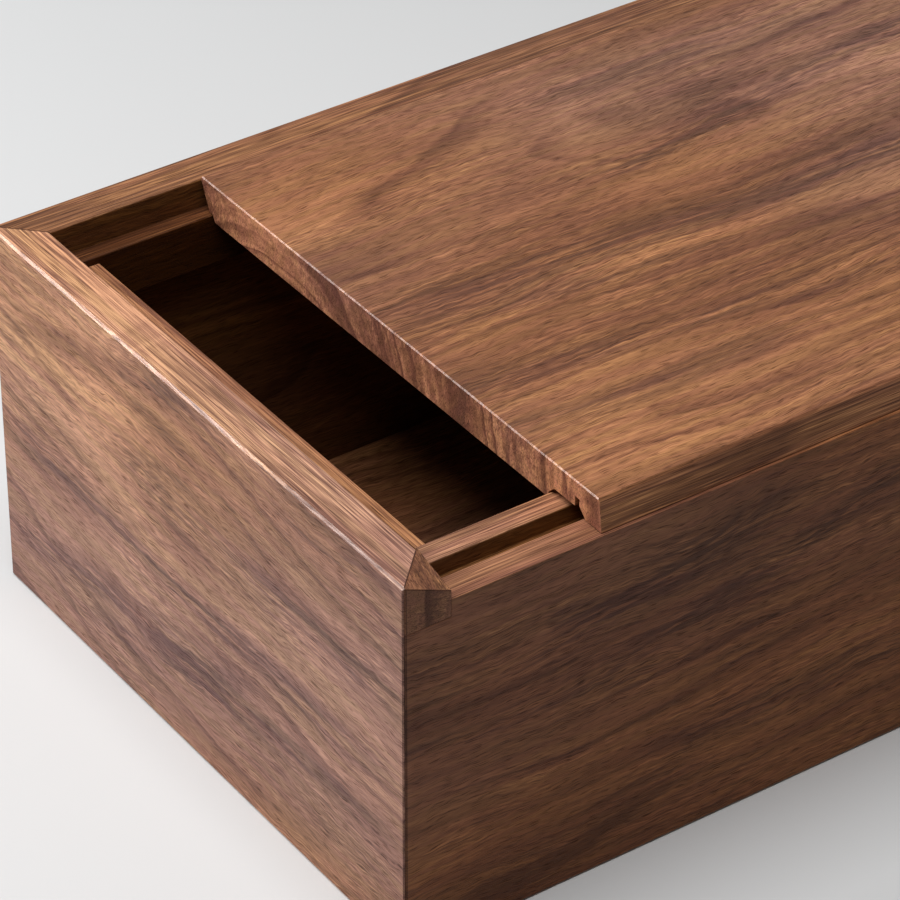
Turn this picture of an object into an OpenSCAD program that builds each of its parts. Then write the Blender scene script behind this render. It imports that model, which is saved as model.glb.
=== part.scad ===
// Box for papers and keepsakes with a lid that slides to the back.
// Four walls are mitred and splined round a flush bottom panel. The lid is one board: its
// left edge is bevelled and seats inside the left side, its right edge laps over the lower
// right side, and a strip under it runs in a channel along that side.
// X points right, Y to the back and Z up. The origin is the middle of the case's underside.

/* [Case] */
// Outside width of the case
box_w = 200; // [160:1:260]
// Outside length of the case
box_l = 300; // [260:1:400]
// Height of the front and of the left side
box_h = 118; // [90:1:160]
// Thickness of the four walls
wall_t = 12; // [11:0.5:14]
// Thickness of the bottom panel
bottom_t = 6; // [5:0.5:9]
// How far the bottom panel reaches into the walls
bottom_lap = 6; // [4:0.5:8]
// Width of the eased outer edges
ease = 0.7; // [0.4:0.1:1.2]

/* [Seat of the lid] */
// Depth of the seat below the top of the front
seat_drop = 9; // [8:0.5:12]
// Height of the strips glued inside the walls
strip_h = 16; // [12:1:24]
// Width of the ledge along the left side
left_ledge_w = 5.5; // [4:0.5:8]
// Width of the ledge behind the front, which the lid's core passes over
front_ledge_w = 12; // [6:0.5:14]
// Width of the rail along the right side
rail_w = 7.5; // [5:0.5:10]
// Width of the channel beside the rail
channel_w = 6.5; // [5:0.5:8]
// Depth of the channel
channel_d = 5.5; // [4:0.5:7]
// Width of the lip that is left of the right side beyond the channel
lip_w = 9; // [7:0.5:10]
// Depth of the corner block along the right side, where the lid stops against it
block_d = 14.3; // [13:0.1:16]
// How far the top of the corner block falls at its back corner
block_fall = 6.3; // [3:0.1:7]

/* [Lid] */
// Gap between the front and the lid as the box stands
lid_open = 48.5; // [5:0.5:250]
// How far the lid stands above the front
lid_rise = 1; // [0:0.5:3]
// Depth of the lid's core below the seat
core_drop = 2; // [1:0.5:4]
// Running gap round the lid
slide_gap = 0.3; // [0.2:0.05:0.6]
// Clearance under the lid's edges
seat_gap = 0.2; // [0.1:0.05:0.4]
// Height of the bevel on the lid's left edge
bevel_h = 8.4; // [4:0.1:8.6]
// Width of the bevel on the lid's left edge
bevel_w = 3.8; // [2:0.1:4.5]
// Width of the kerf that holds the guide strip
kerf_w = 1.8; // [1.2:0.1:2.4]
// Depth of the kerf
kerf_d = 4.8; // [3:0.1:6]
// Clearance between the lid and the top of the rail
rail_relief = 2; // [0.2:0.1:3]
// How far the foot of the lid's right edge stands in from the side
lap_inset = 0.8; // [0:0.1:2]
// How far the lid's right edge leans in at its top
edge_lean = 1.2; // [0:0.1:2]
// How far the guide strip stops short of the lid's ends
guide_setback = 12; // [4:1:40]

/* [Corner splines] */
// Thickness of a spline
spline_t = 3; // [2:0.5:4]
// Width of a spline across the mitre
spline_w = 8; // [6:0.5:9]
// Height of the splines' lower ends
spline_z = 12; // [10:1:20]
// Length of a spline
spline_l = 78; // [40:1:80]

/* [Hidden] */

// Finished walnut, as it shows on each group of pieces
front_colour = "#8f6850";
side_colour = "#6b4937";
lid_colour = "#996a4d";
strip_colour = "#8a6048";
inside_colour = "#4a3226";
spline_colour = "#b08a62";

// Heights
seat_z = box_h - seat_drop;
channel_z = seat_z - channel_d;
core_z = seat_z - core_drop;
pass_z = core_z - slide_gap;
under_z = seat_z + seat_gap;
relief_z = seat_z + rail_relief;
lid_z = box_h + lid_rise;
strip_z = seat_z - strip_h;

// Places across the case
inner_x = box_w - wall_t;
lip_x = box_w - lip_w;
rail_x1 = lip_x - channel_w;
rail_x0 = rail_x1 - rail_w;
ledge_x = wall_t + left_ledge_w;

// Places along the case
inner_y = box_l - wall_t;
lid_y = wall_t + lid_open;
lid_l = box_l - block_d - slide_gap;
strip_l = inner_y - wall_t;

// Small easing of inner edges
soft = 0.4;
// Overshoot of a cut past the face that it leaves
past = 1;
// Distance of a spline's centre from the outer faces
spline_in = 0.56 * wall_t;
// Tilt of the corner block's top, falling away from its mitre
fall_angle = atan(block_fall * sqrt(2) / block_d);

// ---- Placing -------------------------------------------------------------------------

// Moves a case drawn from its front left corner to the middle of its underside
module centred() {
    translate([-box_w / 2, -box_l / 2, 0])
        children();
}

// Runs a section drawn in Y and Z along X
module along_x(length) {
    rotate([90, 0, 90])
        linear_extrude(height = length)
            children();
}

// Runs a section drawn in X and Z along Y
module along_y(length) {
    translate([0, length, 0])
        rotate([90, 0, 0])
            linear_extrude(height = length)
                children();
}

// Stands an outline drawn in plan between two heights
module between(z0, z1) {
    translate([0, 0, z0])
        linear_extrude(height = z1 - z0)
            children();
}

// Turns a wall, drawn along X with its outer face on Y = 0, to its side of the case
module to_back() {
    translate([box_w, box_l, 0])
        rotate(180)
            children();
}

module to_left() {
    translate([0, box_l, 0])
        rotate(-90)
            children();
}

module to_right() {
    translate([box_w, 0, 0])
        rotate(90)
            children();
}

// ---- Walls ---------------------------------------------------------------------------

// Section of a full wall: outer face on 0, rebated inside for the bottom panel
function wall_section(height) = [
    [0, ease],
    [ease, 0],
    [wall_t - bottom_lap, 0],
    [wall_t - bottom_lap, bottom_t],
    [wall_t, bottom_t],
    [wall_t, height - soft],
    [wall_t - soft, height],
    [ease, height],
    [0, height - ease]
];

// Section of the right side: its top is rebated to make one half of the channel
function lipped_section() = [
    [0, ease],
    [ease, 0],
    [wall_t - bottom_lap, 0],
    [wall_t - bottom_lap, bottom_t],
    [wall_t, bottom_t],
    [wall_t, channel_z],
    [lip_w, channel_z],
    [lip_w, seat_z - soft],
    [lip_w - soft, seat_z],
    [0, seat_z]
];

// Plan of a wall mitred at both ends, with its outer corners eased
function mitred_plan(length) = [
    [ease, 0],
    [length - ease, 0],
    [length - ease / 2, ease / 2],
    [length - wall_t, wall_t],
    [wall_t, wall_t],
    [ease / 2, ease / 2]
];

// Plan of a wall that is square at its near end and mitred at its far end
function half_mitred_plan(start, length) = [
    [start, ease],
    [start + ease, 0],
    [length - ease, 0],
    [length - ease / 2, ease / 2],
    [length - wall_t, wall_t],
    [start, wall_t]
];

// Where the back face of the corner block is, at a distance in from the outer face: the
// face runs out at the rail
function block_back(inward) =
    wall_t + (block_d - wall_t) * (1 - inward / (box_w - rail_x1));

// Plan of the lip: it meets the corner block's back face and is square at the back
function lip_plan(length) = [
    [block_back(0), 0],
    [length - ease, 0],
    [length, ease],
    [length, wall_t],
    [block_back(wall_t), wall_t]
];

// Carries a wall's section over the plans given as children
module wall(length, section) {
    intersection() {
        along_x(length)
            polygon(section);
        children();
    }
}

// One spline, lying across the front left mitre
module spline() {
    translate([spline_in, spline_in, spline_z])
        rotate(-45)
            translate([-spline_w / 2, -spline_t / 2, 0])
                cube([spline_w, spline_t, spline_l]);
}

// Brings the front left corner to another corner: right and back are 0 or 1
module to_corner(right, back) {
    translate([box_w / 2, box_l / 2, 0])
        mirror([right, 0, 0])
            mirror([0, back, 0])
                translate([-box_w / 2, -box_l / 2, 0])
                    children();
}

module all_splines() {
    for (right = [0, 1])
        for (back = [0, 1])
            to_corner(right, back)
                spline();
}

module front_panel() {
    color(front_colour)
        centred()
            difference() {
                wall(box_w, wall_section(box_h))
                    between(0, box_h)
                        polygon(mitred_plan(box_w));
                all_splines();
            }
}

// Lower than the sides, so that the lid passes over it, and lower still at the channel
module back_panel() {
    channel_end = box_w - rail_x1 + slide_gap;
    color(side_colour)
        centred()
            difference() {
                to_back()
                    wall(box_w, wall_section(pass_z))
                        union() {
                            between(0, channel_z)
                                polygon(mitred_plan(box_w));
                            between(channel_z, pass_z)
                                polygon(half_mitred_plan(channel_end, box_w));
                        }
                all_splines();
            }
}

// Runs on square over the back panel, above the back panel's top
module left_side() {
    color(side_colour)
        centred()
            difference() {
                to_left()
                    wall(box_l, wall_section(box_h))
                        union() {
                            between(0, pass_z)
                                polygon(mitred_plan(box_l));
                            between(pass_z, box_h)
                                polygon(half_mitred_plan(0, box_l));
                        }
                all_splines();
            }
}

// Its lip starts behind the corner block and runs on square to the back
module right_side() {
    color(side_colour)
        centred()
            difference() {
                to_right()
                    wall(box_l, lipped_section())
                        union() {
                            between(0, channel_z)
                                polygon(mitred_plan(box_l));
                            between(channel_z, seat_z)
                                polygon(lip_plan(box_l));
                        }
                all_splines();
            }
}

// Closes the front end of the channel and stops the lid: it is mitred to the front, and
// its top falls to the lip
module corner_block() {
    color(front_colour)
        centred()
            difference() {
                between(channel_z, box_h)
                    polygon([
                        [box_w - ease / 2, ease / 2],
                        [box_w, ease],
                        [box_w, block_d],
                        [rail_x1, wall_t],
                        [inner_x, wall_t]
                    ]);
                translate([box_w, 0, box_h])
                    rotate(135)
                        rotate([fall_angle, 0, 0])
                            translate([-wall_t, -2 * wall_t, 0])
                                cube([4 * wall_t, 2 * wall_t, wall_t]);
            }
}

module bottom_panel() {
    start = wall_t - bottom_lap;
    color(inside_colour)
        centred()
            translate([start, start, 0])
                cube([box_w - 2 * start, box_l - 2 * start, bottom_t]);
}

// ---- Strips that carry the lid -------------------------------------------------------

module left_runner() {
    color(strip_colour)
        centred()
            translate([0, wall_t, 0])
                along_y(strip_l)
                    polygon([
                        [wall_t, strip_z],
                        [ledge_x, strip_z],
                        [ledge_x, seat_z - soft],
                        [ledge_x - soft, seat_z],
                        [wall_t, seat_z]
                    ]);
}

module front_ledge() {
    ledge_y = wall_t + front_ledge_w;
    color(strip_colour)
        centred()
            translate([ledge_x, 0, 0])
                along_x(rail_x0 - ledge_x)
                    polygon([
                        [wall_t, strip_z],
                        [ledge_y, strip_z],
                        [ledge_y, pass_z - soft],
                        [ledge_y - soft, pass_z],
                        [wall_t, pass_z]
                    ]);
}

// Rail and channel floor in one strip; the lip of the right side closes the channel
module right_runner() {
    color(strip_colour)
        centred()
            translate([0, wall_t, 0])
                along_y(strip_l)
                    polygon([
                        [rail_x0, strip_z],
                        [inner_x, strip_z],
                        [inner_x, channel_z],
                        [rail_x1, channel_z],
                        [rail_x1, seat_z - soft],
                        [rail_x1 - soft, seat_z],
                        [rail_x0 + soft, seat_z],
                        [rail_x0, seat_z - soft]
                    ]);
}

// ---- Splines -------------------------------------------------------------------------

module corner_spline(right, back) {
    color(spline_colour)
        centred()
            to_corner(right, back)
                spline();
}

module spline_front_left() {
    corner_spline(0, 0);
}

module spline_front_right() {
    corner_spline(1, 0);
}

module spline_back_left() {
    corner_spline(0, 1);
}

module spline_back_right() {
    corner_spline(1, 1);
}

// ---- Lid -----------------------------------------------------------------------------

// The kerf stands a little to the right of the middle of the channel
kerf_x0 = rail_x1 + (channel_w - kerf_w) / 2 + 1;
kerf_x1 = kerf_x0 + kerf_w;
// Bevel beside the kerf, on the part of the lid that laps over the lip
lap_bevel = 2.8;
// Left edge of the lid at its top, and foot of the bevel below it
lid_x = wall_t + slide_gap;
bevel_x = lid_x + bevel_w;
// Foot of the lid's right edge
lap_x = box_w - lap_inset;
// Width of the slope between the left shoulder and the core
shoulder_run = 0.9;
// The core fills the space up to the rail and slopes up over the rail's eased edge, which
// it clears by the running gap
core_x = rail_x0 - slide_gap;
slope_z = seat_z - soft + (sqrt(2) - 1) * slide_gap;

function lid_section() = [
    [lid_x, under_z + bevel_h],
    [bevel_x, under_z],
    [ledge_x + slide_gap, under_z],
    [ledge_x + slide_gap + shoulder_run, core_z],
    [core_x, core_z],
    [core_x, slope_z],
    [core_x + relief_z - slope_z, relief_z],
    [kerf_x0, relief_z],
    [kerf_x0, under_z + kerf_d],
    [kerf_x1, under_z + kerf_d],
    [kerf_x1, under_z + lap_bevel],
    [kerf_x1 + lap_bevel, under_z],
    [lap_x, under_z],
    [lap_x - edge_lean, lid_z - ease],
    [lap_x - edge_lean - ease, lid_z],
    [lid_x + soft, lid_z],
    [lid_x, lid_z - soft]
];

// Cuts the chamfer off an edge that runs along X
module eased_end(y, z) {
    translate([box_w / 2, y, z])
        rotate([45, 0, 0])
            cube([box_w + 2 * past, ease * sqrt(2), ease * sqrt(2)], center = true);
}

module lid_panel() {
    color(lid_colour)
        centred()
            difference() {
                translate([0, lid_y, 0])
                    along_y(lid_l)
                        polygon(lid_section());
                eased_end(lid_y, lid_z);
                eased_end(lid_y + lid_l, lid_z);
            }
}

// Upright web in the lid's kerf, with a foot that runs in the channel
module lid_guide() {
    foot_x0 = rail_x1 + slide_gap;
    foot_x1 = lip_x - slide_gap;
    foot_z = channel_z + 2 * slide_gap;
    color(spline_colour)
        centred()
            translate([0, lid_y + guide_setback, 0])
                along_y(lid_l - 2 * guide_setback)
                    polygon([
                        [foot_x0, foot_z],
                        [foot_x1, foot_z],
                        [foot_x1, under_z],
                        [kerf_x1, under_z],
                        [kerf_x1, under_z + kerf_d],
                        [kerf_x0, under_z + kerf_d],
                        [kerf_x0, relief_z],
                        [foot_x0, relief_z]
                    ]);
}

front_panel();
back_panel();
left_side();
right_side();
bottom_panel();
left_runner();
front_ledge();
right_runner();
corner_block();
spline_front_left();
spline_front_right();
spline_back_left();
spline_back_right();
lid_panel();
lid_guide();
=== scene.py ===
import math
from typing import NamedTuple

import bmesh
import bpy
from mathutils import Matrix, Vector


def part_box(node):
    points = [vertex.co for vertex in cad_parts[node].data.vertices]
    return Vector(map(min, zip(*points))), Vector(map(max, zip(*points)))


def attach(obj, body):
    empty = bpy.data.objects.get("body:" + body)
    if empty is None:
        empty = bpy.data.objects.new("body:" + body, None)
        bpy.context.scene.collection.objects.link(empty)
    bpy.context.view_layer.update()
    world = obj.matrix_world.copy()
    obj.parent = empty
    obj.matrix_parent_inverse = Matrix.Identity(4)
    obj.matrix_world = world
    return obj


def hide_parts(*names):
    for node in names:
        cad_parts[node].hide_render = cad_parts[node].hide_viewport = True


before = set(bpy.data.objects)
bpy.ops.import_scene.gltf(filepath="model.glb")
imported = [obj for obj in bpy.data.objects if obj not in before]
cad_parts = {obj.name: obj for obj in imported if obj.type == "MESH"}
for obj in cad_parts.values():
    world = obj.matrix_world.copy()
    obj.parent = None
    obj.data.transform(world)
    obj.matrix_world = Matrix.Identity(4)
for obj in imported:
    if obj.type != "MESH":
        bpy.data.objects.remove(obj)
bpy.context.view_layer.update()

bl_info = {
    "name": "Walnut box with a sliding lid",
    "version": (1, 0, 0),
    "blender": (4, 5, 0),
    "location": "View3D > Sidebar > Walnut box",
    "description": "Dresses the boards of a sliding lid box in oiled walnut and sets the stage",
    "category": "Add Mesh",
}

AXES = {"x": Vector((1, 0, 0)), "y": Vector((0, 1, 0)), "z": Vector((0, 0, 1))}

# The ways that the polished chamfers face: on the front's outer upper edge and at the lid's ends
TO_FRONT = Vector((0, -1, 1)).normalized()
TO_BACK = Vector((0, 1, 1)).normalized()


# ---- Boards ------------------------------------------------------------------------------


class Streak(NamedTuple):
    """A streak of heartwood, dark or, with a negative strength, pale: where it starts and ends
    along the grain, how far across the board it lies at both ends, how far its middle bows,
    its width and its strength. Lengths are in millimetres."""

    start: float
    end: float
    across_start: float
    across_end: float
    bow: float
    width: float
    strength: float


class Board(NamedTuple):
    """How one piece was cut from the log, in millimetres, how its colour differs all over, on
    its ends and on its narrow edges, where some boards carry painted shade, a painted sheen or
    painted light, and which ways its polished chamfers face."""

    node: str
    body: str
    slot: str
    grain: str
    face: str
    seed: float
    pith_across: float
    pith_deep: float
    slope: float
    tint: tuple
    drift: float = 46.0
    figure: float = 1.0
    end: tuple = (1.0, 1.03, 1.05)
    edge: tuple = (1.0, 1.0, 1.0)
    polished: tuple = ()
    streaks: tuple = ()


WALLS = (
    Board(
        node="front_panel", body="case", slot="case_walnut", grain="x", face="y", seed=3.1,
        # The pale, cool tint is partly the board's paler wood and partly a painted sheen
        pith_across=-30, pith_deep=-50, slope=0.06, tint=(1.42, 1.62, 1.90), drift=60,
        figure=0.85, edge=(1.08, 1.09, 1.08), polished=(TO_FRONT,),
        streaks=(
            Streak(-105, 20, 88, 116, 3, 3.0, 0.45),
            Streak(-60, 105, 79, 78, 3, 6.0, 0.40),
            Streak(-105, 105, 56, 54, -3, 4.0, 0.45),
            Streak(-105, 40, 14, 39, 2, 4.0, 0.40),
            Streak(-70, 105, 9, 35, 6, 3.5, 0.35),
            Streak(25, 120, 102, 119, 0, 2.5, 0.35),
            Streak(-10, 110, 95, 94, 0, 7.0, -0.22),
            Streak(-180, -5, 92, 97, 0, 22.0, -0.42),
        ),
    ),
    Board(
        node="left_side", body="case", slot="case_walnut", grain="y", face="x", seed=7.4,
        pith_across=40, pith_deep=-30, slope=0.06, tint=(1.12, 1.2, 1.35), figure=1.1,
        edge=(0.71, 0.67, 0.63),
    ),
    Board(
        node="right_side", body="case", slot="case_walnut", grain="y", face="x", seed=12.9,
        # The dark tint is painted shade on the right side; the pale edge tint undoes it on the
        # narrow top edge
        pith_across=-25, pith_deep=60, slope=0.08, tint=(0.71, 0.64, 0.55), drift=60,
        figure=1.25, edge=(1.52, 1.54, 1.62),
        streaks=(
            Streak(-125, -20, 82, 104, -5, 6.0, 0.60),
            Streak(-100, 30, 62, 100, -3, 3.5, 0.55),
            Streak(-80, 50, 33, 24, 2, 4.0, 0.45),
            Streak(-180, -70, 66, 61, 0, 2.2, 0.45),
            Streak(-200, 0, 8, 14, 0, 18.0, 0.12),
        ),
    ),
    Board(
        node="back_panel", body="case", slot="case_walnut", grain="x", face="y", seed=21.7,
        pith_across=66, pith_deep=50, slope=0.08, tint=(1.2, 1.25, 1.3), drift=50,
    ),
    Board(
        node="corner_block", body="case", slot="case_walnut", grain="x", face="y", seed=26.2,
        pith_across=90, pith_deep=-30, slope=0.05, tint=(1.1, 1.15, 1.25), drift=30,
        figure=-0.3, end=(0.60, 0.62, 0.70),
    ),
)

BOTTOM = (
    Board(
        node="bottom_panel", body="case", slot="bottom_walnut", grain="y", face="z", seed=33.3,
        pith_across=10, pith_deep=-60, slope=0.05, tint=(1.2, 1.15, 1.05), drift=50,
    ),
)

STRIPS = (
    Board(
        node="left_runner", body="case", slot="strip_walnut", grain="y", face="x", seed=41.8,
        # The dark tint is painted shade on this runner inside the case
        pith_across=90, pith_deep=-40, slope=0.03, tint=(0.44, 0.38, 0.30), drift=30,
    ),
    Board(
        node="front_ledge", body="case", slot="strip_walnut", grain="x", face="y", seed=47.5,
        pith_across=85, pith_deep=-40, slope=0.03, tint=(1.2, 1.2, 1.2), drift=30,
    ),
    Board(
        node="right_runner", body="case", slot="strip_walnut", grain="y", face="x", seed=52.6,
        pith_across=80, pith_deep=-40, slope=0.03, tint=(1.32, 1.38, 1.46), drift=30,
    ),
)

LID = (
    Board(
        node="lid_panel", body="lid", slot="lid_walnut", grain="y", face="z", seed=60.3,
        pith_across=-52, pith_deep=74, slope=0.07, tint=(1.0, 1.0, 1.0), drift=42,
        # The pale end tint is painted light on the lid's end faces
        figure=1.2, end=(1.52, 1.50, 1.78), polished=(TO_FRONT, TO_BACK),
        streaks=(
            Streak(-95, 110, -1, 8, 3, 6.0, 0.55),
            Streak(-95, 60, 5, 30, 2, 3.0, 0.35),
            Streak(0, 130, -68, -60, -3, 6.0, 0.35),
            Streak(-120, 75, 36, 56, 1, 3.5, 0.35),
            Streak(-120, 15, 56, 64, 4, 5.0, 0.35),
            Streak(-25, 150, -23, -50, 3, 4.0, 0.40),
            Streak(-160, 60, 83, 84, 0, 9.0, -0.42),
            Streak(-10, 120, 24, 27, 0, 5.0, -0.25),
        ),
    ),
)

GUIDE = (
    Board(
        node="lid_guide", body="lid", slot="strip_walnut", grain="y", face="x", seed=71.9,
        pith_across=90, pith_deep=-40, slope=0.03, tint=(1.1, 1.1, 1.1), drift=30,
    ),
)

SPLINES = Board(
    node="corner_splines", body="case", slot="spline_wood", grain="x", face="z", seed=80.2,
    pith_across=20, pith_deep=-60, slope=0.02, tint=(1.5, 1.6, 1.7),
)
SPLINE_NODES = (
    "spline_front_left",
    "spline_front_right",
    "spline_back_left",
    "spline_back_right",
)
SPLINE_THICK = 0.003

# The block is let into a notch, so its edges below its top are joint lines
LET_IN = "corner_block"
LET_IN_TOP = 0.002


# ---- Settings ----------------------------------------------------------------------------


class WalnutFinish(bpy.types.PropertyGroup):
    """Colours and measures of the oiled walnut."""

    pale: bpy.props.FloatVectorProperty(
        name="Pale wood",
        description="Colour of the palest wood between the growth rings",
        default=(0.50, 0.238, 0.126),
        size=3,
        min=0.0,
        max=1.0,
        subtype="COLOR",
    )
    brown: bpy.props.FloatVectorProperty(
        name="Brown wood",
        description="Main colour of the heartwood",
        default=(0.264, 0.115, 0.064),
        size=3,
        min=0.0,
        max=1.0,
        subtype="COLOR",
    )
    dark: bpy.props.FloatVectorProperty(
        name="Dark streaks",
        description="Colour of the dark streaks in the heartwood",
        default=(0.137, 0.0559, 0.0335),
        size=3,
        min=0.0,
        max=1.0,
        subtype="COLOR",
    )
    ring_gap: bpy.props.FloatProperty(
        name="Ring gap",
        description="Mean distance between two growth rings",
        default=0.008,
        min=0.001,
        max=0.02,
        unit="LENGTH",
        subtype="DISTANCE",
    )
    pore_length: bpy.props.FloatProperty(
        name="Pore length",
        description="Typical length of a pore along the grain",
        default=0.0046,
        min=0.001,
        max=0.02,
        unit="LENGTH",
        subtype="DISTANCE",
    )
    roughness: bpy.props.FloatProperty(
        name="Roughness",
        description="Roughness of the oiled surface",
        default=0.46,
        min=0.1,
        max=1.0,
        subtype="FACTOR",
    )
    edge_round: bpy.props.FloatProperty(
        name="Edge rounding",
        description="Width of the sanded rounding on the edges",
        default=0.0003,
        min=0.0001,
        max=0.001,
        unit="LENGTH",
        subtype="DISTANCE",
    )
    lid_chamfer: bpy.props.FloatProperty(
        name="Lid chamfer",
        description="Width of the chamfer on the lid's upper end edges",
        default=0.00035,
        min=0.0002,
        max=0.002,
        unit="LENGTH",
        subtype="DISTANCE",
    )


class StageSettings(bpy.types.PropertyGroup):
    """Floor, lamps and background."""

    floor: bpy.props.FloatVectorProperty(
        name="Floor",
        description="Colour of the floor",
        default=(0.713, 0.719, 0.722),
        size=3,
        min=0.0,
        max=1.0,
        subtype="COLOR",
    )
    backdrop: bpy.props.FloatVectorProperty(
        name="Background",
        description="Colour seen behind the floor",
        default=(0.72, 0.725, 0.73),
        size=3,
        min=0.0,
        max=1.0,
        subtype="COLOR",
    )
    floor_radius: bpy.props.FloatProperty(
        name="Floor radius",
        description="Radius of the round floor",
        default=4.0,
        min=1.0,
        max=20.0,
        unit="LENGTH",
        subtype="DISTANCE",
    )
    lamp_size: bpy.props.FloatProperty(
        name="Lamp size",
        description="Side of the square soft lamp",
        default=0.45,
        min=0.1,
        max=4.0,
        unit="LENGTH",
        subtype="DISTANCE",
    )
    lamp_power: bpy.props.FloatProperty(
        name="Lamp power",
        description="Power of the soft lamp at the front left",
        default=5.0,
        min=0.0,
        max=500.0,
        unit="POWER",
    )
    roof_size: bpy.props.FloatProperty(
        name="Roof lamp size",
        description="Side of the square lamp above the box",
        default=1.0,
        min=0.1,
        max=4.0,
        unit="LENGTH",
        subtype="DISTANCE",
    )
    roof_power: bpy.props.FloatProperty(
        name="Roof lamp power",
        description="Power of the lamp above the box",
        default=19.0,
        min=0.0,
        max=500.0,
        unit="POWER",
    )
    fill: bpy.props.FloatProperty(
        name="Fill",
        description="Strength of the even light from all sides",
        default=0.09,
        min=0.0,
        max=2.0,
        subtype="FACTOR",
    )


# ---- Shader sums -------------------------------------------------------------------------


class Wire:
    """A shader socket that is used in plain sums."""

    def __init__(self, shade, socket):
        self.shade = shade
        self.socket = socket

    def math(self, operation, *values):
        """The result of a Math node on these values."""
        return self.shade.add("ShaderNodeMath", {"operation": operation}, dict(enumerate(values)))

    def __add__(self, other):
        return self.math("ADD", self, other)

    def __radd__(self, other):
        return self.math("ADD", other, self)

    def __sub__(self, other):
        return self.math("SUBTRACT", self, other)

    def __rsub__(self, other):
        return self.math("SUBTRACT", other, self)

    def __mul__(self, other):
        return self.math("MULTIPLY", self, other)

    def __rmul__(self, other):
        return self.math("MULTIPLY", other, self)

    def __truediv__(self, other):
        return self.math("DIVIDE", self, other)

    def __rtruediv__(self, other):
        return self.math("DIVIDE", other, self)

    def __pow__(self, other):
        return self.math("POWER", self, other)

    def __abs__(self):
        return self.math("ABSOLUTE", self)

    def __neg__(self):
        return self.math("MULTIPLY", self, -1)


class Shade:
    """The node tree of one material or world."""

    def __init__(self, owner):
        owner.use_nodes = True
        self.tree = owner.node_tree

    def socket(self, sockets, key):
        """A socket by its place, its identifier or its name."""
        for found in sockets:
            if found.identifier == key:
                return found
        return sockets[key]

    def plug(self, socket, value):
        """Links a socket, or sets its value."""
        if isinstance(value, Wire):
            self.tree.links.new(value.socket, socket)
        else:
            socket.default_value = value

    def add(self, kind, settings=None, inputs=None, out=0):
        """Adds a node: its settings first, then the values or links of its sockets."""
        made = self.tree.nodes.new(kind)
        for name, value in (settings or {}).items():
            if name == "stops":
                ramp = made.color_ramp
                while len(ramp.elements) < len(value):
                    ramp.elements.new(0.5)
                for stop, (position, colour) in zip(ramp.elements, value):
                    stop.position = position
                    stop.color = (*colour, 1.0)
            else:
                setattr(made, name, value)
        for key, value in (inputs or {}).items():
            self.plug(self.socket(made.inputs, key), value)
        return Wire(self, self.socket(made.outputs, out))

    def finish(self, kind, **inputs):
        """Sets the sockets of the shader that the tree already has."""
        made = next(n for n in self.tree.nodes if n.bl_idname == kind)
        for name, value in inputs.items():
            self.plug(made.inputs[name.replace("_", " ")], value)

    def split(self, vector):
        """The three parts of a vector or a colour."""
        return [
            self.add("ShaderNodeSeparateXYZ", None, {"Vector": vector}, out)
            for out in ("X", "Y", "Z")
        ]

    def join(self, x, y, z):
        """A vector from its three parts."""
        return self.add("ShaderNodeCombineXYZ", None, {"X": x, "Y": y, "Z": z})

    def noise(self, place, detail=2.0, roughness=0.5, out="Fac"):
        """Noise in a space whose units are the size of its lumps."""
        settings = {"noise_dimensions": "3D", "normalize": True}
        inputs = {"Vector": place, "Scale": 1.0, "Detail": detail, "Roughness": roughness}
        return self.add("ShaderNodeTexNoise", settings, inputs, out)

    def rise(self, value, low, high):
        """0 below low, 1 above high, and smooth between them."""
        settings = {"interpolation_type": "SMOOTHSTEP", "clamp": True}
        inputs = {"Value": value, "From Min": low, "From Max": high, "To Min": 0.0, "To Max": 1.0}
        return self.add("ShaderNodeMapRange", settings, inputs)

    def blend(self, share, first, second, kind="MIX"):
        """Mixes two colours."""
        settings = {"data_type": "RGBA", "blend_type": kind, "clamp_factor": True}
        inputs = {"Factor_Float": share, "A_Color": first, "B_Color": second}
        return self.add("ShaderNodeMix", settings, inputs, "Result_Color")

    def attribute(self, name):
        """A number kept on the faces of the piece."""
        return self.add("ShaderNodeAttribute", {"attribute_name": name}, None, "Fac")


def rgba(colour, gain=1.0):
    """A colour with its brightness changed and with full cover."""
    return (colour[0] * gain, colour[1] * gain, colour[2] * gain, 1.0)


def between(first, second):
    """The colour halfway between two others by ratio."""
    return [math.sqrt(a * b) for a, b in zip(first, second)]


MM = 1000.0

# Size of each pattern's lumps in millimetres: along the grain, across it and into the board
SWAY_SIZE = (60, 30, 30)
CRINKLE_SIZE = (5.5, 3.5, 3.5)
DRIFT_SIZE = (240, 100, 100)
ZONE_SIZE = (50, 14, 14)
FIBRE_SIZE = (24, 0.75, 0.75)
HAIR_SIZE = (5, 0.32, 0.32)
FIGURE_SIZE = (40, 3.2, 3.2)
PORE_WIDTH = 0.17

# Size of each ring pattern's lumps in millimetres: out from the pith, along the grain, across
BAND_SIZE = (18, 300, 140)
RING_SIZE = (2.6, 120, 50)
CLEAR_SIZE = (9, 80, 60)

# How far the fibres leave their straight line, and how much less on a narrow edge
SWAY = 7
CRINKLE = 1.4
EDGE_CALM = 0.85
EDGE_STRETCH = 0.65

# A streak fades out over this length at both ends, and wavers by these lengths
STREAK_FADE = 35
STREAK_SWAY, STREAK_DRIFT, STREAK_CRINKLE = 6, 10, 1.1

# How pale the plain wood is, and how much each pattern changes that
PLAIN = 0.55
BANDS, RINGS, FIGURE, CLOUD = 0.70, 0.50, 0.38, 0.40
FIBRES, HAIRS, LINES, STREAKS = 0.70, 0.55, 0.60, 1.1

# How much more the ring patterns show on the ends, the fibres in strong zones and on the
# narrow edges, and the fibres everywhere
ON_ENDS, IN_ZONES, ON_EDGES, EVERYWHERE = 0.9, 0.85, 1.4, 0.55

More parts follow.
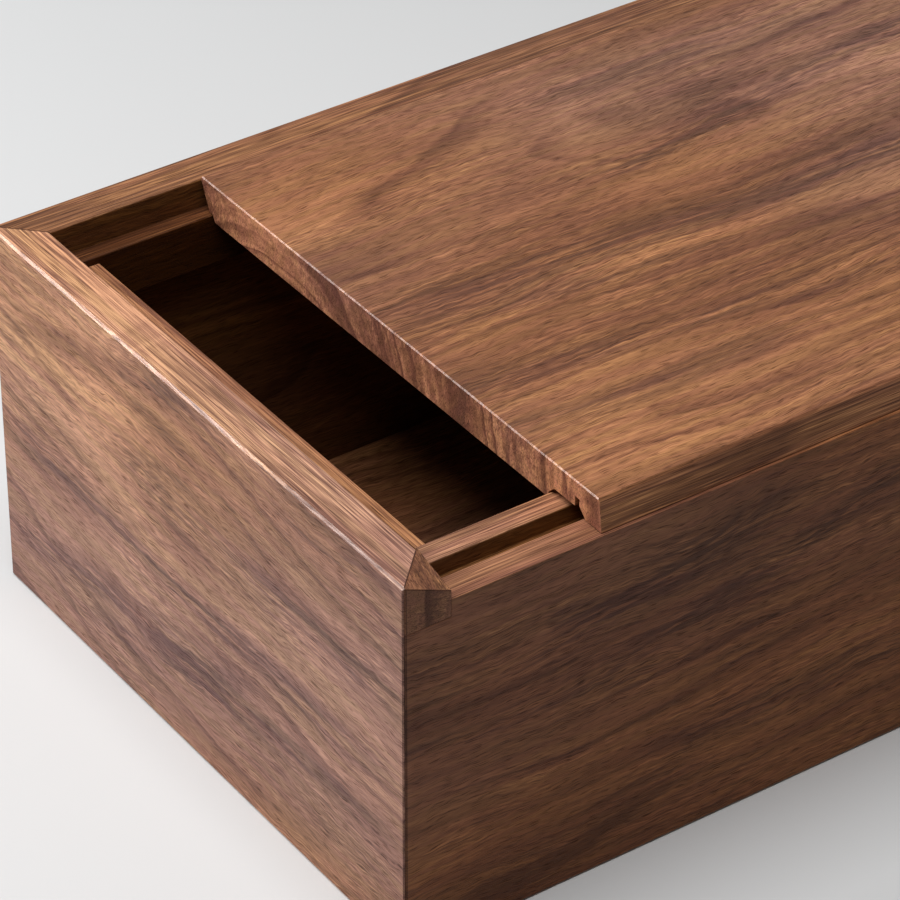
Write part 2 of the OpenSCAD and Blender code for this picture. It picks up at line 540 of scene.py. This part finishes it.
# What each part of the wood does to its colour
COOL, WARM = (0.94, 1.0, 1.13), (1.06, 1.0, 0.83)
ROSY, OLIVE = (1.02, 0.99, 1.03), (0.98, 1.01, 0.94)
IN_STREAK = (0.88, 1.02, 1.25)
IN_PORE = (0.3, 0.26, 0.25)
# Painted shade on the faces inside the case
PAINTED_SHADE_IN_RECESS = (0.50, 0.44, 0.26)
# Rubbed edges are paler from wear; on the polished chamfers this paling is also a painted
# highlight
ON_RUBBED_EDGE_AND_HIGHLIGHT = (1.4, 1.4, 1.4)
IN_JOINT = (0.25, 0.2, 0.2)


class Walnut:
    """Oiled walnut grown as a solid, so that the faces, edges and ends of a board agree."""

    def __init__(self, board, finish):
        self.board = board
        self.finish = finish
        self.seed = board.seed * 37.0
        self.material = bpy.data.materials.new(board.node + "_walnut")
        self.shade = Shade(self.material)
        self.edge_cut = self.shade.attribute("edge_cut")
        self.end = self.shade.attribute("end_grain")
        self.lay_out()
        self.bend_fibres()
        self.grow_rings()
        self.draw_fibres()
        self.draw_streaks()
        self.coat(self.colour())

    def lumps(self, place, size, detail=1.0, roughness=0.5, out="Fac"):
        """Noise at a place given along the grain, across it and into the board."""
        along, wide, deeper = (part / length for part, length in zip(place, size))
        return self.shade.noise(
            self.shade.join(along + self.seed, wide, deeper), detail, roughness, out
        )

    def ring_lumps(self, size, roughness=0.5, out_shift=0, across_shift=0):
        """Noise that follows the growth rings."""
        outward = self.radius / size[0] + out_shift
        along = self.grain / size[1] + self.seed
        across = self.across / size[2] + across_shift
        return self.shade.noise(self.shade.join(outward, along, across), 1.0, roughness)

    def tinted(self, wood, tint, share=1.0):
        """The wood, multiplied by a tint as far as the share says."""
        changed = self.shade.blend(1.0, wood, rgba(tint), "MULTIPLY")
        return self.shade.blend(share, wood, changed)

    def lay_out(self):
        """Places in millimetres: along the grain, across the board and into it."""
        shade, board = self.shade, self.board
        place = shade.add("ShaderNodeTexCoord", None, None, "Object")
        scaled = shade.add(
            "ShaderNodeVectorMath", {"operation": "SCALE"}, {0: place, "Scale": MM}
        )
        where = dict(zip("xyz", shade.split(scaled)))
        self.grain = where.pop(board.grain)
        self.deep = where.pop(board.face)
        self.across = where.popitem()[1]

    def bend_fibres(self):
        """The fibres sway a little on their way and are crinkled close up."""
        place = (self.grain, self.across, self.deep)
        sway = self.lumps(place, SWAY_SIZE, out="Color")
        self.sway_across, sway_deep, self.cloud = self.shade.split(sway)
        self.crinkle = self.lumps(place, CRINKLE_SIZE)
        drift = self.lumps(place, DRIFT_SIZE, out="Color")
        self.drift_across, self.drift_deep, self.hue = self.shade.split(drift)
        calm = 1 - self.edge_cut * EDGE_CALM
        bend = (self.sway_across - 0.5) * SWAY + (self.crinkle - 0.5) * CRINKLE
        self.side = self.across + bend * calm
        self.depth = self.deep + (sway_deep - 0.5) * SWAY * calm

    def grow_rings(self):
        """Rings round a pith that lies outside the board and dives along it. Each ring
        darkens slowly and ends in a sharp line."""
        board, shade = self.board, self.shade
        drift_side = (self.drift_across - 0.5) * board.drift
        drift_depth = (self.drift_deep - 0.5) * (board.drift * 0.2)
        side = self.side + drift_side - board.pith_across
        depth = self.depth + drift_depth - board.pith_deep - self.grain * board.slope
        self.radius = (side * side + depth * depth) ** 0.5
        self.bands = self.ring_lumps(BAND_SIZE)
        self.rings = self.ring_lumps(RING_SIZE, 0.6, across_shift=7)
        clear = self.ring_lumps(CLEAR_SIZE, out_shift=31)
        phase = self.radius / (self.finish.ring_gap * MM) + (self.bands - 0.5) * 5
        late = phase.math("FRACT", phase)
        self.lines = late ** 5 * (1 - shade.rise(late, 0.92, 1.0)) * shade.rise(clear, 0.36, 0.58)

    def draw_fibres(self):
        """Fibres and pores, long and fine, that show more in some zones than in others and
        are longer on the narrow edges."""
        shade = self.shade
        stretch = 1 - self.edge_cut * EDGE_STRETCH
        along = self.grain * stretch
        wide = self.side * stretch
        deeper = self.depth * (self.edge_cut * EDGE_STRETCH + (1 - EDGE_STRETCH))
        zone = self.lumps((self.grain, self.side, self.depth), ZONE_SIZE)
        self.strength = shade.rise(zone, 0.36, 0.62)
        self.fibre = self.lumps((along, wide, deeper), FIBRE_SIZE, 1.0, 0.6)
        self.hair = self.lumps((along, wide, deeper), HAIR_SIZE, 0.0)
        figured = self.lumps((along, self.side, self.depth), FIGURE_SIZE, out="Color")
        self.figure, self.blush, _ = shade.split(figured)
        # The pores are set aside by five widths, so that they don't follow the hairs
        pore_size = (self.finish.pore_length * MM, PORE_WIDTH, PORE_WIDTH)
        pore_place = (self.grain * (1 - self.edge_cut * 0.6), wide + 5 * PORE_WIDTH, deeper)
        self.pores = shade.rise(self.lumps(pore_place, pore_size, 0.0), 0.55, 0.69)

    def draw_streaks(self):
        """The heartwood streaks that this board shows, each a bundle of fine lines."""
        shade = self.shade
        self.streaks = 0.0
        if not self.board.streaks:
            return
        thread = 0.0
        wave = (
            (self.sway_across - 0.5) * STREAK_SWAY
            + (self.drift_across - 0.5) * STREAK_DRIFT
            + (self.crinkle - 0.5) * STREAK_CRINKLE
        )
        for line in self.board.streaks:
            travel = (self.grain - line.start) / (line.end - line.start)
            bow = travel * (1 - travel) * (4 * line.bow)
            centre = travel * (line.across_end - line.across_start) + bow + line.across_start
            off = self.across + wave - centre
            begun = shade.rise(self.grain, line.start, line.start + STREAK_FADE)
            ended = shade.rise(self.grain, line.end - STREAK_FADE, line.end)
            inside = 1 - shade.rise(abs(off) / line.width, 0.0, 2.0)
            share = inside * (begun * (1 - ended)) * line.strength
            self.streaks = share + self.streaks
            thread = off * share + thread
        threads = shade.noise(
            shade.join(thread / 0.7, self.grain / 70 + self.seed, self.side / 4), 1.0, 0.6
        )
        self.streaks = self.streaks * shade.rise(threads * 0.75 + self.fibre * 0.25, 0.64, 0.38)

    def tone(self):
        """How pale the wood is: 0 in dark streaks, 1 in the palest wood."""
        coarse = (
            (self.bands - 0.5) * BANDS
            + (self.rings - 0.5) * RINGS
            + (self.figure - 0.5) * FIGURE
            + (self.cloud - 0.5) * CLOUD
        )
        fine = (self.fibre - 0.5) * FIBRES + (self.hair - 0.5) * HAIRS
        return (
            PLAIN
            + coarse * (self.end * ON_ENDS + self.board.figure)
            + fine * (self.strength * IN_ZONES + self.edge_cut * ON_EDGES + EVERYWHERE)
            - self.lines * ((self.end + 1) * LINES)
            - self.streaks * STREAKS
        )

    def colour(self):
        """The colour of the wood: of its tone, its parts, its faces and its wear, with painted
        shade inside the case and a painted highlight on the polished chamfers.
        """
        shade, board, finish = self.shade, self.board, self.finish
        stops = [
            (0.0, finish.dark),
            (0.25, between(finish.dark, finish.brown)),
            (0.5, finish.brown),
            (0.75, between(finish.brown, finish.pale)),
            (1.0, finish.pale),
        ]
        wood = shade.add("ShaderNodeValToRGB", {"stops": stops}, {"Fac": self.tone()})
        for value, low, high in ((self.hue, COOL, WARM), (self.blush, ROSY, OLIVE)):
            hue = shade.blend(shade.rise(value, 0.36, 0.64), rgba(low), rgba(high))
            wood = shade.blend(1.0, wood, hue, "MULTIPLY")
        if board.streaks:
            wood = self.tinted(wood, IN_STREAK, self.streaks)
        # Some boards' tints hold painted shade, a painted sheen or painted light
        wood = shade.blend(1.0, wood, rgba(board.tint), "MULTIPLY")
        wood = self.tinted(wood, IN_PORE, self.pores * 0.75)

        # The ends drink the oil, but the lid's paler ends are painted light; rubbed edges are
        # paler, and on the polished chamfers that paleness is also a painted highlight; faces
        # inside the case get painted shade; joints are dark
        wood = self.tinted(wood, board.edge, self.edge_cut)
        wood = self.tinted(wood, board.end, self.end)
        wood = self.tinted(wood, PAINTED_SHADE_IN_RECESS, shade.attribute("recess"))
        mark = shade.attribute("worn_edge")
        self.worn = mark.math("MAXIMUM", mark, 0.0)
        joint = mark.math("MAXIMUM", -mark, 0.0)
        rubbed_and_highlight = self.worn * (shade.rise(self.figure, 0.35, 0.6) * 0.4 + 0.6)
        wood = self.tinted(wood, ON_RUBBED_EDGE_AND_HIGHLIGHT, rubbed_and_highlight * 0.45)
        return self.tinted(wood, IN_JOINT, joint * 0.75)

    def coat(self, wood):
        """The oiled surface, with a soft and uneven glint on the polished chamfers."""
        shade = self.shade
        rough = (
            (self.fibre - 0.5) * 0.25
            + self.pores * 0.18
            + self.end * 0.12
            - self.worn * 0.08
            + self.finish.roughness
        )
        height = (
            (self.fibre - 0.5) * 0.6
            + (self.hair - 0.5) * 0.3
            - self.pores * 0.7
            - self.lines * 0.3
        )
        normal = shade.add(
            "ShaderNodeBump", None, {"Strength": 0.5, "Distance": 0.00012, "Height": height}
        )
        uneven = shade.rise(self.figure * 0.6 + self.hair * 0.4, 0.38, 0.62)
        glint = shade.rise(self.worn, 0.6, 0.9) * (uneven * 0.26 + 0.12)
        shade.finish(
            "ShaderNodeBsdfPrincipled",
            Base_Color=wood,
            Roughness=rough,
            Normal=normal,
            Coat_Weight=glint,
            Specular_IOR_Level=0.12,
            Coat_Roughness=0.16,
            Coat_IOR=1.8,
        )


# ---- Making pieces -----------------------------------------------------------------------


WELD = 1e-6
SAME_WAY = 0.999
FLAT = math.radians(0.5)
SHARP = math.radians(25)

# Marks of the attribute "worn_edge"; on the glinting chamfers the paler colour is a painted
# highlight
RUBBED = 0.4
GLINTING = 1.0
JOINT_LINE = -1.0


def merged(node):
    """A clean copy of a CAD node's mesh as a bmesh: doubles merged and flat faces joined."""
    shape = bmesh.new()
    shape.from_mesh(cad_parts[node].data)
    bmesh.ops.remove_doubles(shape, verts=shape.verts, dist=WELD)
    join_flat(shape)
    shape.normal_update()
    return shape


def join_flat(shape):
    """Joins the faces of a bmesh that lie in one plane."""
    bmesh.ops.dissolve_limit(shape, angle_limit=FLAT, verts=shape.verts, edges=shape.edges)


def looks(face, ways):
    """Whether a face looks one of the ways."""
    return any(face.normal.dot(way) > SAME_WAY for way in ways)


def is_mitre(face):
    """Whether a face stands upright and halfway between the two walls' ways."""
    x, y, z = (abs(part) for part in face.normal)
    return abs(x - y) < 0.01 and z < 0.01


def ease_edges(shape, width, only=None, segments=3, let_in=None, keep=()):
    """Rounds the sharp edges of a bmesh, apart from those of faces that look the ways to keep.
    It marks the new faces as rubbed, or as the fine dark line of a joint."""
    mark = shape.faces.layers.float.get("worn_edge") or shape.faces.layers.float.new("worn_edge")
    sharp = [
        e
        for e in shape.edges
        if len(e.link_faces) == 2
        and e.calc_face_angle(0) > SHARP
        and (only is None or only(e))
        and not any(looks(f, keep) for f in e.link_faces)
    ]
    mitres = [(f.calc_center_median(), f.normal.copy()) for f in shape.faces if is_mitre(f)]
    made = bmesh.ops.bevel(
        shape,
        geom=sharp,
        offset=width,
        offset_type="OFFSET",
        segments=segments,
        profile=0.5,
        affect="EDGES",
        clamp_overlap=True,
    )
    for face in made["faces"]:
        centre = face.calc_center_median()
        joint = any(abs((centre - place).dot(normal)) < width for place, normal in mitres)
        joint = joint or (let_in is not None and centre.z < let_in)
        face[mark] = JOINT_LINE if joint else RUBBED


def is_recessed(face):
    """Whether a face of the case lies inside the walls, out of reach of light and hands, and so
    gets painted shade.
    """
    skin, bottom, below_seat = 0.002, 0.02, 0.003
    centre = face.calc_center_median()
    half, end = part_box("left_side")[0].x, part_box("front_panel")[0].y
    if face.normal.z > 0.5 and centre.z < bottom:
        return False
    if abs(centre.x) > abs(half) - skin or abs(centre.y) > abs(end) - skin or centre.z < skin:
        return False
    return abs(face.normal.z) < 0.5 or centre.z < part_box("right_runner")[1].z - below_seat


def mark_faces(shape, board):
    """Keeps on each face how it was cut from the board, whether it lies inside the case for the
    painted shade, and how it is worn or painted with a highlight.
    """
    floats = shape.faces.layers.float
    ends = floats.new("end_grain")
    cuts = floats.new("edge_cut")
    recess = floats.new("recess")
    worn = floats["worn_edge"]
    shape.normal_update()
    for face in shape.faces:
        if looks(face, board.polished):
            face[worn] = GLINTING
        face[ends] = face.normal.dot(AXES[board.grain]) ** 2
        face[cuts] = 1.0 - face.normal.dot(AXES[board.face]) ** 2 - face[ends]
        # Faces inside the case are marked for painted shade
        face[recess] = float(board.body == "case" and is_recessed(face))
        face.material_index = 0
        face.smooth = False


def piece_from(shape, board, wood, *nodes):
    """Turns a bmesh into a finished piece that stands in for CAD nodes."""
    mark_faces(shape, board)
    mesh = bpy.data.meshes.new(board.node)
    shape.to_mesh(mesh)
    shape.free()
    piece = bpy.data.objects.new(board.node + "_wood", mesh)
    bpy.context.scene.collection.objects.link(piece)
    mesh.materials.append(wood)
    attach(piece, board.body)
    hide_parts(*nodes)


def chamfer_ends(shape, width):
    """Cuts a flat chamfer on the upper edges at both ends of the lid."""
    top = max(v.co.z for v in shape.verts)
    shortest = 0.05
    ease_edges(
        shape,
        width,
        lambda e: all(v.co.z > top - 1e-5 for v in e.verts)
        and abs(e.verts[0].co.x - e.verts[1].co.x) > shortest,
        1,
    )
    shape.normal_update()


def dress(boards, finish):
    """Stands an eased, grained piece in for each board's CAD node."""
    for board in boards:
        shape = merged(board.node)
        let_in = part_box(board.node)[1].z - LET_IN_TOP if board.node == LET_IN else None
        ease_edges(shape, finish.edge_round, let_in=let_in, keep=board.polished)
        piece_from(shape, board, Walnut(board, finish).material, board.node)


# ---- Geometry Nodes ----------------------------------------------------------------------


class Growth:
    """A Geometry Nodes tree with named inputs."""

    def __init__(self, name, sizes):
        self.tree = bpy.data.node_groups.new(name, "GeometryNodeTree")
        face = self.tree.interface
        face.new_socket("Geometry", in_out="INPUT", socket_type="NodeSocketGeometry")
        face.new_socket("Geometry", in_out="OUTPUT", socket_type="NodeSocketGeometry")
        for label, kind in sizes.items():
            face.new_socket(label, in_out="INPUT", socket_type=kind)
        self.given = self.tree.nodes.new("NodeGroupInput")
        self.result = self.tree.nodes.new("NodeGroupOutput")

    def add(self, kind, settings=None, inputs=None, out=0):
        """Adds a node: its settings first, then the values or links of its sockets."""
        made = self.tree.nodes.new(kind)
        for name, value in (settings or {}).items():
            setattr(made, name, value)
        for key, value in (inputs or {}).items():
            socket = made.inputs[key]
            for one in value if isinstance(value, list) else [value]:
                if isinstance(one, bpy.types.NodeSocket):
                    self.tree.links.new(one, socket)
                else:
                    socket.default_value = one
        return made.outputs[out]

    def close(self, geometry, material):
        """Ends the tree in Realize Instances and Set Material."""
        whole = self.add("GeometryNodeRealizeInstances", None, {"Geometry": geometry})
        done = self.add("GeometryNodeSetMaterial", None, {"Geometry": whole, "Material": material})
        self.tree.links.new(done, self.result.inputs[0])

    def grow(self, name, mesh, values):
        """Runs the tree on a mesh and returns the result as a plain mesh."""
        carrier = bpy.data.objects.new(name, mesh)
        bpy.context.scene.collection.objects.link(carrier)
        modifier = carrier.modifiers.new(name, "NODES")
        modifier.node_group = self.tree
        ids = {s.name: s.identifier for s in self.tree.interface.items_tree if s.in_out == "INPUT"}
        for label, value in values.items():
            modifier[ids[label]] = value
        graph = bpy.context.evaluated_depsgraph_get()
        grown = bpy.data.meshes.new_from_object(carrier.evaluated_get(graph))
        carrier.modifiers.remove(modifier)
        bpy.data.objects.remove(carrier)
        return grown


def run_of_section():
    """A tree that runs a section straight along a line and closes both of its ends."""
    growth = Growth(
        "section_run", {"Run": "NodeSocketVector", "Finish": "NodeSocketMaterial"}
    )
    section = growth.given.outputs["Geometry"]
    run = growth.given.outputs["Run"]
    body = growth.add("GeometryNodeExtrudeMesh", {"mode": "FACES"}, {
        "Mesh": section, "Offset": run, "Offset Scale": 1.0, "Individual": False,
    })
    start = growth.add("GeometryNodeFlipFaces", None, {"Mesh": section})
    both = growth.add("GeometryNodeJoinGeometry", None, {"Geometry": [body, start]})
    closed = growth.add(
        "GeometryNodeMergeByDistance", None, {"Geometry": both, "Distance": WELD}
    )
    growth.close(closed, growth.given.outputs["Finish"])
    return growth


def section_of(node, axis):
    """The section of a straight piece at its middle, as one face at the piece's start."""
    low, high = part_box(node)
    line = AXES[axis]
    shape = merged(node)
    cut = bmesh.ops.bisect_plane(
        shape,
        geom=shape.verts[:] + shape.edges[:] + shape.faces[:],
        plane_co=(low + high) / 2,
        plane_no=line,
    )["geom_cut"]
    kept = {e for e in cut if isinstance(e, bmesh.types.BMVert)}
    bmesh.ops.delete(shape, geom=[v for v in shape.verts if v not in kept], context="VERTS")
    join_flat(shape)
    face = bmesh.ops.contextual_create(shape, geom=shape.edges)["faces"][0]
    face.normal_update()
    if face.normal.dot(line) < 0:
        face.normal_flip()
    shift = line * (low - (low + high) / 2).dot(line)
    bmesh.ops.translate(shape, verts=shape.verts, vec=shift)
    mesh = bpy.data.meshes.new(node + "_section")
    shape.to_mesh(mesh)
    shape.free()
    return mesh, line * (high - low).dot(line)


def run_out(boards, finish, chamfer=0.0):
    """Runs each board's section along its length and finishes its edges."""
    growth = run_of_section()
    for board in boards:
        wood = Walnut(board, finish).material
        section, run = section_of(board.node, board.grain)
        grown = growth.grow(board.node + "_run", section, {"Run": run, "Finish": wood})
        shape = bmesh.new()
        shape.from_mesh(grown)
        bmesh.ops.recalc_face_normals(shape, faces=shape.faces)
        shape.normal_update()
        if chamfer:
            chamfer_ends(shape, chamfer)
        ease_edges(shape, finish.edge_round, keep=board.polished)
        piece_from(shape, board, wood, board.node)


def corner_splines():
    """A tree that stands one spline across the mitre at each corner of a rectangle."""
    sizes = {
        "Between X": "NodeSocketFloat",
        "Between Y": "NodeSocketFloat",
        "Foot": "NodeSocketFloat",
        "Size": "NodeSocketVector",
        "Finish": "NodeSocketMaterial",
    }
    growth = Growth("corner_splines", sizes)
    given = growth.given.outputs
    corners = growth.add("GeometryNodeMeshGrid", None, {
        "Size X": given["Between X"], "Size Y": given["Between Y"],
        "Vertices X": 2, "Vertices Y": 2,
    })
    spline = growth.add("GeometryNodeMeshCube", None, {"Size": given["Size"]})
    place = growth.add("GeometryNodeInputPosition")
    split = growth.add("ShaderNodeSeparateXYZ", None, {"Vector": place}).node
    side = growth.add("ShaderNodeMath", {"operation": "MULTIPLY"}, {
        0: split.outputs["X"], 1: split.outputs["Y"],
    })
    sign = growth.add("ShaderNodeMath", {"operation": "SIGN"}, {0: side})
    turn = growth.add("ShaderNodeMath", {"operation": "MULTIPLY"}, {0: sign, 1: -math.pi / 4})
    angle = growth.add("ShaderNodeCombineXYZ", None, {"Z": turn})
    stood = growth.add("GeometryNodeInstanceOnPoints", None, {
        "Points": corners, "Instance": spline, "Rotation": angle,
    })
    lift = growth.add("ShaderNodeCombineXYZ", None, {"Z": given["Foot"]})
    lifted = growth.add("GeometryNodeTransform", None, {"Geometry": stood, "Translation": lift})
    growth.close(lifted, given["Finish"])
    return growth


# ---- Operators ---------------------------------------------------------------------------


class BOX_OT_walls(bpy.types.Operator):
    """Makes the four walls and the mitred block at the near right corner"""

    bl_idname = "walnut_box.walls"
    bl_label = "Make the walls"

    def execute(self, context):
        dress(WALLS, context.scene.walnut_finish)
        return {"FINISHED"}


class BOX_OT_bottom(bpy.types.Operator):
    """Makes the bottom panel"""

    bl_idname = "walnut_box.bottom"
    bl_label = "Make the bottom"

    def execute(self, context):
        dress(BOTTOM, context.scene.walnut_finish)
        return {"FINISHED"}


class BOX_OT_strips(bpy.types.Operator):
    """Makes the strips inside the walls that carry the lid"""

    bl_idname = "walnut_box.strips"
    bl_label = "Make the strips"

    def execute(self, context):
        run_out(STRIPS, context.scene.walnut_finish)
        return {"FINISHED"}


class BOX_OT_splines(bpy.types.Operator):
    """Makes the four splines across the mitres"""

    bl_idname = "walnut_box.splines"
    bl_label = "Make the corner splines"

    def execute(self, context):
        finish = context.scene.walnut_finish
        wood = Walnut(SPLINES, finish).material
        low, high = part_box(SPLINE_NODES[0])
        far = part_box(SPLINE_NODES[3])
        middle = (low + high) / 2
        between_them = (far[0] + far[1]) / 2 - middle
        diagonal = (high.x - low.x) * math.sqrt(2)
        size = Vector((diagonal - SPLINE_THICK, SPLINE_THICK, high.z - low.z))
        grown = corner_splines().grow("corner_splines", bpy.data.meshes.new("corners"), {
            "Between X": between_them.x,
            "Between Y": between_them.y,
            "Foot": middle.z,
            "Size": size,
            "Finish": wood,
        })
        shape = bmesh.new()
        shape.from_mesh(grown)
        ease_edges(shape, finish.edge_round)
        piece_from(shape, SPLINES, wood, *SPLINE_NODES)
        return {"FINISHED"}


class BOX_OT_lid(bpy.types.Operator):
    """Makes the lid and the guide strip under it"""

    bl_idname = "walnut_box.lid"
    bl_label = "Make the lid"

    def execute(self, context):
        finish = context.scene.walnut_finish
        run_out(LID, finish, finish.lid_chamfer)
        run_out(GUIDE, finish)
        return {"FINISHED"}


# Where the lamps hang, from the point that they light
LAMP_AIM = (0.0, 0.0, 0.06)
FRONT_LAMP_AWAY = (-0.64, -0.66, 0.50)
ROOF_LAMP_AWAY = (0.05, -0.42, 1.40)

# The photograph's viewpoint, found from the box's straight edges: degrees, metres and
# millimetres of lens
VIEW_AZIMUTH = 55.059
VIEW_ELEVATION = 35.233
VIEW_ROLL = 0.179
VIEW_PLACE = (0.836086, -0.650655, 0.788363)
VIEW_LENS = 183.284
SENSOR_WIDTH = 36.0


class BOX_OT_stage(bpy.types.Operator):
    """Lays the floor and sets the lamps, the background and the camera"""

    bl_idname = "walnut_box.stage"
    bl_label = "Set the stage"

    def execute(self, context):
        stage = context.scene.box_stage
        lay_floor(stage)
        hang_lamp("front_lamp", stage.lamp_size, stage.lamp_power, FRONT_LAMP_AWAY)
        hang_lamp("roof_lamp", stage.roof_size, stage.roof_power, ROOF_LAMP_AWAY)
        light_background(stage)
        stand_camera()
        context.scene.view_settings.view_transform = "Standard"
        return {"FINISHED"}


def lay_floor(stage):
    """A round paper floor with the faintest mottle."""
    shape = bmesh.new()
    bmesh.ops.create_circle(shape, cap_ends=True, segments=96, radius=stage.floor_radius)
    mesh = bpy.data.meshes.new("floor")
    shape.to_mesh(mesh)
    shape.free()
    floor = bpy.data.objects.new("floor", mesh)
    bpy.context.scene.collection.objects.link(floor)
    material = bpy.data.materials.new("floor_paper")
    shade = Shade(material)
    place = shade.add("ShaderNodeTexCoord", None, None, "Object")
    mottle = shade.noise(
        shade.add("ShaderNodeVectorMath", {"operation": "SCALE"}, {0: place, "Scale": 6.0}), 2.0
    )
    tone = shade.blend(mottle, rgba(stage.floor, 0.985), rgba(stage.floor, 1.015))
    shade.finish(
        "ShaderNodeBsdfPrincipled", Base_Color=tone, Roughness=0.7, Specular_IOR_Level=0.2
    )
    mesh.materials.append(material)


def hang_lamp(name, size, power, away):
    """Hangs a square soft lamp away from the box and turns it to the box."""
    lamp = bpy.data.lights.new(name, "AREA")
    lamp.shape = "SQUARE"
    lamp.size = size
    lamp.energy = power
    holder = bpy.data.objects.new(name, lamp)
    bpy.context.scene.collection.objects.link(holder)
    holder.location = Vector(LAMP_AIM) + Vector(away)
    holder.rotation_euler = (-Vector(away)).to_track_quat("-Z", "Y").to_euler()


def light_background(stage):
    """An even fill, and a pale background where it is seen or mirrored."""
    world = bpy.data.worlds.new("studio")
    bpy.context.scene.world = world
    shade = Shade(world)
    path = shade.add("ShaderNodeLightPath").socket.node
    seen = Wire(shade, path.outputs["Is Camera Ray"])
    mirrored = Wire(shade, path.outputs["Is Glossy Ray"])
    through = Wire(shade, path.outputs["Is Transmission Ray"])
    pale = (seen + mirrored + through).math("MINIMUM", seen + mirrored + through, 1.0)
    colour = shade.blend(pale, rgba((1.0, 1.0, 1.0), stage.fill), rgba(stage.backdrop))
    shade.finish("ShaderNodeBackground", Color=colour, Strength=1.0)


def stand_camera():
    """A camera at the photograph's viewpoint."""
    azimuth = math.radians(VIEW_AZIMUTH)
    elevation = math.radians(VIEW_ELEVATION)
    roll = math.radians(VIEW_ROLL)
    back = Vector((
        math.sin(azimuth) * math.cos(elevation),
        -math.cos(azimuth) * math.cos(elevation),
        math.sin(elevation),
    ))
    right = Vector((math.cos(azimuth), math.sin(azimuth), 0.0))
    up = back.cross(right)
    rolled_right = math.cos(roll) * right + math.sin(roll) * up
    rolled_up = math.cos(roll) * up - math.sin(roll) * right
    data = bpy.data.cameras.new("camera")
    data.sensor_width = SENSOR_WIDTH
    data.lens = VIEW_LENS
    data.clip_start = 0.05
    data.clip_end = 30.0
    camera = bpy.data.objects.new("camera", data)
    bpy.context.scene.collection.objects.link(camera)
    turn = Matrix((rolled_right, rolled_up, back)).transposed().to_4x4()
    camera.matrix_world = Matrix.Translation(VIEW_PLACE) @ turn
    bpy.context.scene.camera = camera


class BOX_PT_panel(bpy.types.Panel):
    """Lists the pieces of the box in the sidebar"""

    bl_idname = "BOX_PT_panel"
    bl_label = "Walnut box"
    bl_space_type = "VIEW_3D"
    bl_region_type = "UI"
    bl_category = "Walnut box"

    def draw(self, context):
        layout = self.layout
        for operator in OPERATORS:
            layout.operator(operator.bl_idname)
        for settings in (context.scene.walnut_finish, context.scene.box_stage):
            box = layout.box()
            for name in settings.__annotations__:
                box.prop(settings, name)


OPERATORS = (
    BOX_OT_walls,
    BOX_OT_bottom,
    BOX_OT_strips,
    BOX_OT_splines,
    BOX_OT_lid,
    BOX_OT_stage,
)
CLASSES = (WalnutFinish, StageSettings, *OPERATORS, BOX_PT_panel)


def register():
    for one in CLASSES:
        bpy.utils.register_class(one)
    bpy.types.Scene.walnut_finish = bpy.props.PointerProperty(type=WalnutFinish)
    bpy.types.Scene.box_stage = bpy.props.PointerProperty(type=StageSettings)


def unregister():
    del bpy.types.Scene.box_stage
    del bpy.types.Scene.walnut_finish
    for one in reversed(CLASSES):
        bpy.utils.unregister_class(one)


def main():
    register()
    bpy.ops.walnut_box.walls()
    bpy.ops.walnut_box.bottom()
    bpy.ops.walnut_box.strips()
    bpy.ops.walnut_box.splines()
    bpy.ops.walnut_box.lid()
    bpy.ops.walnut_box.stage()


if __name__ == "__main__":
    main()
